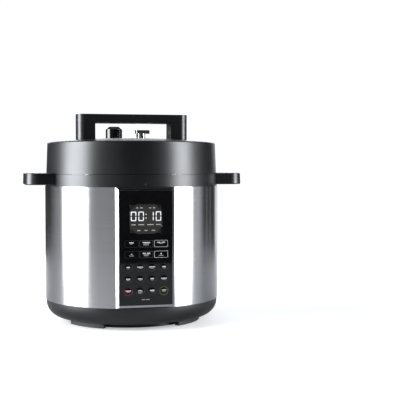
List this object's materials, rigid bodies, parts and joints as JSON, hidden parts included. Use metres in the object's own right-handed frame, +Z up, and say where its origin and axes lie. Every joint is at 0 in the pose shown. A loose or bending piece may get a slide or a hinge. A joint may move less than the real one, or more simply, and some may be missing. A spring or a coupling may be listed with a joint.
{
  "type": "electric pressure cooker",
  "caption": "Round electric pressure cooker with brushed steel body, black twist lid with bar handle, side handles, key panel with display and inner pot.",
  "frame": {"origin": "on the floor under the cooker's vertical axis, in the plane of the standing ring", "axes": "+Z up along the cooker's axis; -Y towards the control panel; +X to the right seen from the panel"},
  "size_m": [0.3352, 0.3021, 0.3212],
  "materials": {
    "black_plastic": "satin black, fine moulded texture",
    "knob_plastic": "polished black",
    "foot_rubber": "matt",
    "screw_steel": "zinc plated",
    "brushed_steel": "vertically brushed",
    "pressed_steel": "satin",
    "aluminium": "drawn, dull",
    "cast_aluminium": "machined",
    "switch_body": "plain",
    "gloss_black": "polished black",
    "display_glass": "smoked and clear coated",
    "display_body": "plain",
    "board_green": "solder mask",
    "board_brown": "phenolic",
    "component_plastic": "moulded",
    "wire_insulation": "silicone",
    "clear_plastic": "clear moulded",
    "pot_coating": "non-stick coat, satin",
    "silicone": "translucent, matt",
    "brass": "turned",
    "chrome": "polished",
    "key_plastic": "polished black with pale ring"
  },
  "bodies": {
    "housing": {"base_shell": "black_plastic", "base_plate": "black_plastic", "foot_pads": "foot_rubber", "base_screws": "screw_steel", "steel_shell": "brushed_steel", "collar": "black_plastic", "side_handle_left": "black_plastic", "side_handle_right": "black_plastic", "handle_screws": "screw_steel", "bayonet_ring": "pressed_steel", "heating_chamber": "aluminium", "heating_plate": "cast_aluminium", "spring_plate": "pressed_steel", "sensor_spring": "screw_steel", "pressure_switch": "switch_body", "control_fascia": "gloss_black", "display_window": "display_glass", "display_module": "display_body", "control_board": "board_green", "key_switches": "switch_body", "power_board": "board_brown", "power_components": "component_plastic", "power_inlet": "black_plastic", "inlet_pins": "pressed_steel", "wiring_loom": "wire_insulation", "cup_bracket": "black_plastic"},
    "pot": {"inner_pot": "pot_coating"},
    "seal": {"sealing_ring": "silicone"},
    "lid": {"lid_cover": "black_plastic", "lid_handle": "black_plastic", "lid_handle_screws": "screw_steel", "lid_plate": "pressed_steel", "ring_rack": "pressed_steel", "lid_screws": "screw_steel", "exhaust_pipe": "pressed_steel", "anti_block_shield": "pressed_steel", "float_guide": "brass"},
    "float": {"float_valve": "chrome"},
    "knob": {"steam_knob": "knob_plastic"},
    "sensor": {"sensor_button": "aluminium"},
    "cup": {"condensation_cup": "clear_plastic"},
    "key_saute_body": {"key_saute": "key_plastic"},
    "key_pressure_body": {"key_pressure": "key_plastic"},
    "key_slow_cook_body": {"key_slow_cook": "key_plastic"},
    "key_minus_body": {"key_minus": "key_plastic"},
    "key_level_body": {"key_level": "key_plastic"},
    "key_plus_body": {"key_plus": "key_plastic"},
    "key_rice_body": {"key_rice": "key_plastic"},
    "key_grains_body": {"key_grains": "key_plastic"},
    "key_beans_body": {"key_beans": "key_plastic"},
    "key_meat_body": {"key_meat": "key_plastic"},
    "key_soup_body": {"key_soup": "key_plastic"},
    "key_steam_body": {"key_steam": "key_plastic"},
    "key_egg_body": {"key_egg": "key_plastic"},
    "key_yogurt_body": {"key_yogurt": "key_plastic"},
    "key_cancel_body": {"key_cancel": "key_plastic"},
    "key_keep_warm_body": {"key_keep_warm": "key_plastic"},
    "key_delay_body": {"key_delay": "key_plastic"},
    "key_start_body": {"key_start": "key_plastic"}
  },
  "joints": [
    {"name": "pot_lift", "type": "slide", "parent": "housing", "child": "pot", "axis": [0, 0, 1], "range_m": [0, 0.19]},
    {"name": "lid_lift", "type": "slide", "parent": "pot", "child": "seal", "axis": [0, 0, 1], "range_m": [0, 0.2]},
    {"name": "lid_turn", "type": "hinge", "parent": "seal", "child": "lid", "pos_m": [0, 0, 0.2288], "axis": [0, 0, 1], "range_deg": [-30, 0]},
    {"name": "float_rise", "type": "slide", "parent": "lid", "child": "float", "axis": [0, 0, 1], "range_m": [0, 0.0045]},
    {"name": "knob_turn", "type": "hinge", "parent": "lid", "child": "knob", "pos_m": [-0.0207, 0.055, 0.29], "axis": [0, 0, 1], "range_deg": [0, 60]},
    {"name": "sensor_press", "type": "slide", "parent": "housing", "child": "sensor", "axis": [0, 0, 1], "range_m": [-0.002, 0], "stiffness_N_per_m": 800, "springref_m": 0.001, "deforming": ["sensor_spring"]},
    {"name": "cup_pull", "type": "slide", "parent": "housing", "child": "cup", "axis": [0, 1, 0], "range_m": [0, 0.045]},
    {"name": "press_saute", "type": "slide", "parent": "housing", "child": "key_saute_body", "axis": [0, 1, 0], "range_m": [0, 0.0008], "stiffness_N_per_m": 400},
    {"name": "press_pressure", "type": "slide", "parent": "housing", "child": "key_pressure_body", "axis": [0, 1, 0], "range_m": [0, 0.0008], "stiffness_N_per_m": 400},
    {"name": "press_slow_cook", "type": "slide", "parent": "housing", "child": "key_slow_cook_body", "axis": [0, 1, 0], "range_m": [0, 0.0008], "stiffness_N_per_m": 400},
    {"name": "press_minus", "type": "slide", "parent": "housing", "child": "key_minus_body", "axis": [0, 1, 0], "range_m": [0, 0.0008], "stiffness_N_per_m": 400},
    {"name": "press_level", "type": "slide", "parent": "housing", "child": "key_level_body", "axis": [0, 1, 0], "range_m": [0, 0.0008], "stiffness_N_per_m": 400},
    {"name": "press_plus", "type": "slide", "parent": "housing", "child": "key_plus_body", "axis": [0, 1, 0], "range_m": [0, 0.0008], "stiffness_N_per_m": 400},
    {"name": "press_rice", "type": "slide", "parent": "housing", "child": "key_rice_body", "axis": [0, 1, 0], "range_m": [0, 0.0008], "stiffness_N_per_m": 400},
    {"name": "press_grains", "type": "slide", "parent": "housing", "child": "key_grains_body", "axis": [0, 1, 0], "range_m": [0, 0.0008], "stiffness_N_per_m": 400},
    {"name": "press_beans", "type": "slide", "parent": "housing", "child": "key_beans_body", "axis": [0, 1, 0], "range_m": [0, 0.0008], "stiffness_N_per_m": 400},
    {"name": "press_meat", "type": "slide", "parent": "housing", "child": "key_meat_body", "axis": [0, 1, 0], "range_m": [0, 0.0008], "stiffness_N_per_m": 400},
    {"name": "press_soup", "type": "slide", "parent": "housing", "child": "key_soup_body", "axis": [0, 1, 0], "range_m": [0, 0.0008], "stiffness_N_per_m": 400},
    {"name": "press_steam", "type": "slide", "parent": "housing", "child": "key_steam_body", "axis": [0, 1, 0], "range_m": [0, 0.0008], "stiffness_N_per_m": 400},
    {"name": "press_egg", "type": "slide", "parent": "housing", "child": "key_egg_body", "axis": [0, 1, 0], "range_m": [0, 0.0008], "stiffness_N_per_m": 400},
    {"name": "press_yogurt", "type": "slide", "parent": "housing", "child": "key_yogurt_body", "axis": [0, 1, 0], "range_m": [0, 0.0008], "stiffness_N_per_m": 400},
    {"name": "press_cancel", "type": "slide", "parent": "housing", "child": "key_cancel_body", "axis": [0, 1, 0], "range_m": [0, 0.0008], "stiffness_N_per_m": 400},
    {"name": "press_keep_warm", "type": "slide", "parent": "housing", "child": "key_keep_warm_body", "axis": [0, 1, 0], "range_m": [0, 0.0008], "stiffness_N_per_m": 400},
    {"name": "press_delay", "type": "slide", "parent": "housing", "child": "key_delay_body", "axis": [0, 1, 0], "range_m": [0, 0.0008], "stiffness_N_per_m": 400},
    {"name": "press_start", "type": "slide", "parent": "housing", "child": "key_start_body", "axis": [0, 1, 0], "range_m": [0, 0.0008], "stiffness_N_per_m": 400}
  ]
}
